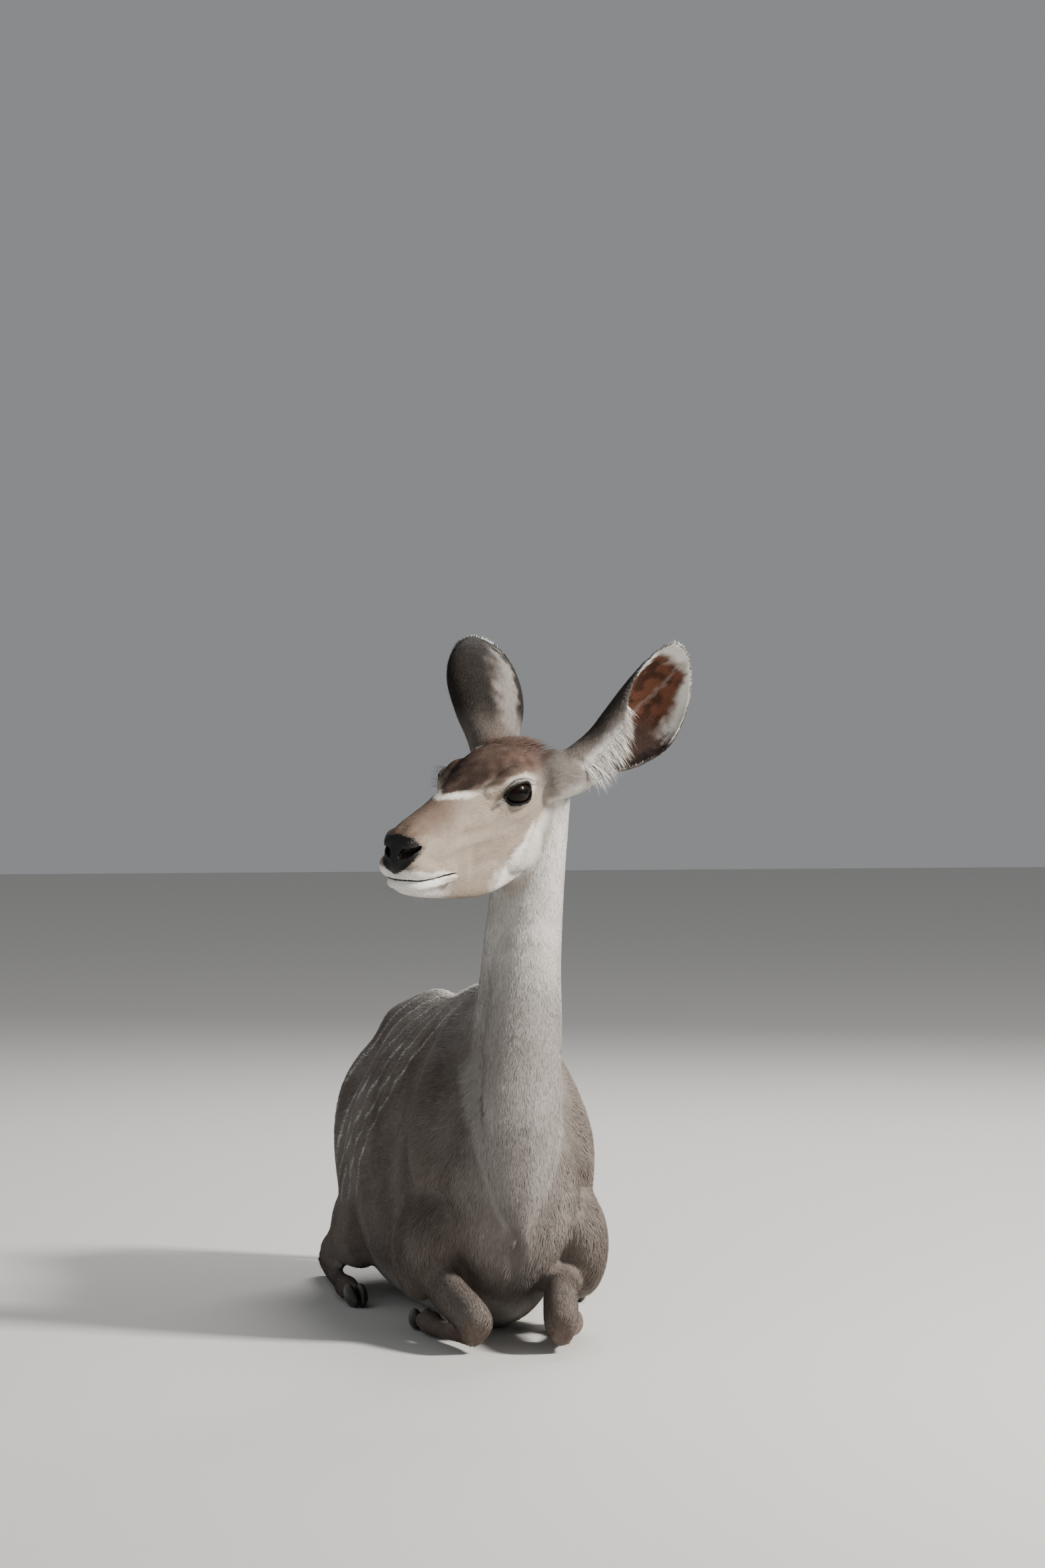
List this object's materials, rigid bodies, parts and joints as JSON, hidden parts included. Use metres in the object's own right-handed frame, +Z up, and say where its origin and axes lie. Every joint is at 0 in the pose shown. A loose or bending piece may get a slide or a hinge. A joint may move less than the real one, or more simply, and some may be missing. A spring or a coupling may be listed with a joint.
{
  "type": "greater kudu",
  "caption": "Life-size female greater kudu lying on her chest, legs folded beside and under the body, neck upright, head turned to her right, large ears raised.",
  "frame": {"origin": "on the floor, at the centre of the flat under the belly that she lies on", "axes": "+Z up, -Y the way the body faces, +X her left side"},
  "size_m": [0.5105, 1.3074, 1.0923],
  "materials": {
    "brown_coat": "short hair, matt",
    "grey_coat": "short hair, matt",
    "hoof_horn": "smooth horn, slight sheen",
    "wet_eye": "wet gloss"
  },
  "bodies": {
    "root": {"torso": "brown_coat", "neck": "grey_coat", "head": "brown_coat", "eye_left": "wet_eye", "eye_right": "wet_eye", "ear_left": "brown_coat", "ear_right": "brown_coat", "tail": "brown_coat", "foreleg_left": "brown_coat", "forehoof_left_outer": "hoof_horn", "forehoof_left_inner": "hoof_horn", "foreleg_right": "brown_coat", "forehoof_right_outer": "hoof_horn", "forehoof_right_inner": "hoof_horn", "hindleg_left": "brown_coat", "hindhoof_left_outer": "hoof_horn", "hindhoof_left_inner": "hoof_horn", "hindleg_right": "brown_coat", "hindhoof_right_outer": "hoof_horn", "hindhoof_right_inner": "hoof_horn"}
  },
  "joints": []
}
